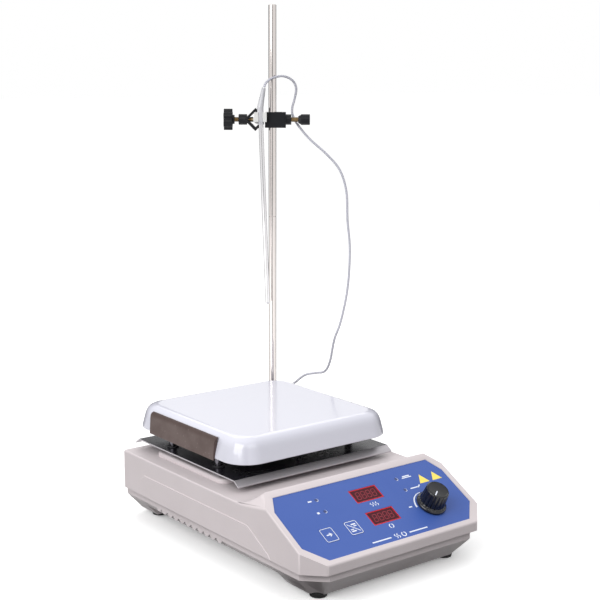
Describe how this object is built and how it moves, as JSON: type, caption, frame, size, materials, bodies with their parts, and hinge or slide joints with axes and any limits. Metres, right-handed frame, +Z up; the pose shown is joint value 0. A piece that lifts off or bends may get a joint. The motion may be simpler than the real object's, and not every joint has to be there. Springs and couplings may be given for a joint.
{
  "type": "magnetic stirrer",
  "caption": "Hot-plate magnetic stirrer: sloping control panel with knob and displays, square enamelled plate, support rod with clamp, temperature probe and cable.",
  "frame": {"origin": "on the bench, in the plane of the feet, under the middle of the housing", "axes": "+Z up, +Y to the rear, +X to the right as seen from the control panel"},
  "size_m": [0.2547, 0.3456, 0.497],
  "materials": {
    "shell_plastic": "fine moulded grain, warm light grey",
    "bracket_paint": "satin light grey paint",
    "foot_rubber": "matt black",
    "zinc_steel": "zinc plated",
    "overlay_blue": "satin printed film, blue",
    "window_red": "clear dark red, gloss",
    "display_black": "dark red-black",
    "led_clear": "water clear lens",
    "black_plastic": "moulded black",
    "knob_black": "satin black",
    "board_green": "coated circuit board",
    "lamination": "varnished lamination",
    "winding": "enamelled copper wire",
    "contact_brass": "plain brass",
    "fuse_glass": "clear tube with metal caps",
    "rocker_red": "red, gloss",
    "plug_metal": "nickel plated",
    "washer_black": "blackened",
    "rod_steel": "polished stainless steel, fine lengthwise grain",
    "clamp_black": "moulded black with worn edges",
    "nylon_white": "translucent white nylon",
    "probe_steel": "bright drawn stainless tube",
    "sleeve_film": "whitish shrink sleeve",
    "cable_braid": "grey braid",
    "shield_steel": "satin stainless sheet",
    "enamel_white": "white enamel, gloss",
    "tinted_steel": "heat-tinted brown, satin",
    "heater_cast": "cast",
    "pad_fibre": "ceramic fibre felt",
    "cover_black": "heat-proof black",
    "yoke_steel": "plain steel",
    "magnet": "sintered magnet"
  },
  "bodies": {
    "housing": {"base_tray": "shell_plastic", "upper_shell": "shell_plastic", "rod_bracket": "bracket_paint", "rubber_feet": "foot_rubber", "foot_screws": "zinc_steel", "shell_screws": "zinc_steel", "board_screws": "zinc_steel", "rear_screws": "zinc_steel", "post_nuts": "zinc_steel", "motor_bracket": "zinc_steel", "motor": "zinc_steel", "panel_overlay": "overlay_blue", "temp_window": "window_red", "rpm_window": "window_red", "digit_displays": "display_black", "indicator_leds": "led_clear", "key_switches": "black_plastic", "potentiometer": "black_plastic", "mains_inlet": "black_plastic", "switch_frame": "black_plastic", "control_board": "board_green", "power_board": "board_green", "transformer_core": "lamination", "transformer_coil": "winding", "inlet_contacts": "contact_brass", "probe_socket": "plug_metal", "probe_plug": "plug_metal", "plate_posts": "plug_metal", "post_spacers": "plug_metal", "post_washers": "washer_black", "rod_lock_screw": "washer_black", "lower_rod": "rod_steel", "upper_rod": "rod_steel", "probe_cable": "cable_braid", "heat_shield": "shield_steel", "top_plate": "enamel_white", "side_plate": "tinted_steel", "heater_element": "heater_cast", "insulation_pad": "pad_fibre", "heater_cover": "cover_black"},
    "speed_knob": {"pot_shaft": "zinc_steel", "speed_knob": "knob_black"},
    "unit_key": {"unit_key": "overlay_blue"},
    "mode_key": {"mode_key": "overlay_blue"},
    "power_rocker": {"switch_rocker": "rocker_red"},
    "fuse_drawer": {"fuse_drawer": "black_plastic", "fuse": "fuse_glass"},
    "rotor": {"motor_shaft": "zinc_steel", "magnet_yoke": "yoke_steel", "magnets": "magnet"},
    "clamp": {"clamp_body": "clamp_black", "probe_holder": "nylon_white", "probe_tube": "probe_steel", "probe_sleeve": "sleeve_film"},
    "rod_screw_tip": {"rod_screw_pad": "contact_brass"},
    "rod_screw": {"rod_screw": "contact_brass", "rod_screw_knob": "clamp_black"},
    "holder_screw_tip": {"holder_screw_pad": "contact_brass"},
    "holder_screw": {"holder_screw": "contact_brass", "holder_screw_knob": "clamp_black"}
  },
  "joints": [
    {"name": "speed_knob_turn", "type": "hinge", "parent": "housing", "child": "speed_knob", "pos_m": [0.055, -0.12507, 0.06094], "axis": [0, -0.4802, 0.8771], "range_deg": [-275, 25]},
    {"name": "unit_key_press", "type": "slide", "parent": "housing", "child": "unit_key", "axis": [0, 0.4802, -0.8771], "range_m": [0, 0.0004], "stiffness_N_per_m": 400},
    {"name": "mode_key_press", "type": "slide", "parent": "housing", "child": "mode_key", "axis": [0, 0.4802, -0.8771], "range_m": [0, 0.0004], "stiffness_N_per_m": 400},
    {"name": "power_rocker_tilt", "type": "hinge", "parent": "housing", "child": "power_rocker", "pos_m": [-0.008, 0.146, 0.0485], "axis": [1, 0, 0], "range_deg": [0, 16]},
    {"name": "fuse_drawer_slide", "type": "slide", "parent": "housing", "child": "fuse_drawer", "axis": [0, 1, 0], "range_m": [0, 0.016]},
    {"name": "rotor_spin", "type": "hinge", "parent": "housing", "child": "rotor", "pos_m": [0, 0.0588, 0.07], "axis": [0, 0, 1], "continuous": true},
    {"name": "clamp_slide", "type": "slide", "parent": "housing", "child": "clamp", "axis": [0, 0, 1], "range_m": [-0.06, 0.06], "deforming": ["probe_cable"]},
    {"name": "rod_screw_travel", "type": "slide", "parent": "clamp", "child": "rod_screw_tip", "axis": [0.7891, -0.6143, 0], "range_m": [0, 0.00241]},
    {"name": "rod_screw_turn", "type": "hinge", "parent": "rod_screw_tip", "child": "rod_screw", "pos_m": [0.0854, 0.1561, 0.3817], "axis": [0.7891, -0.6143, 0], "range_deg": [0, 1080]},
    {"name": "holder_screw_travel", "type": "slide", "parent": "clamp", "child": "holder_screw_tip", "axis": [-0.7891, 0.6143, 0], "range_m": [0, 0.00241]},
    {"name": "holder_screw_turn", "type": "hinge", "parent": "holder_screw_tip", "child": "holder_screw", "pos_m": [0.0854, 0.1561, 0.3817], "axis": [-0.7891, 0.6143, 0], "range_deg": [0, 1080]}
  ],
  "couplings": [
    {"joint": "rod_screw_travel", "follows": "rod_screw_turn", "m_per_rad": 0.00012732},
    {"joint": "holder_screw_travel", "follows": "holder_screw_turn", "m_per_rad": 0.00012732}
  ]
}
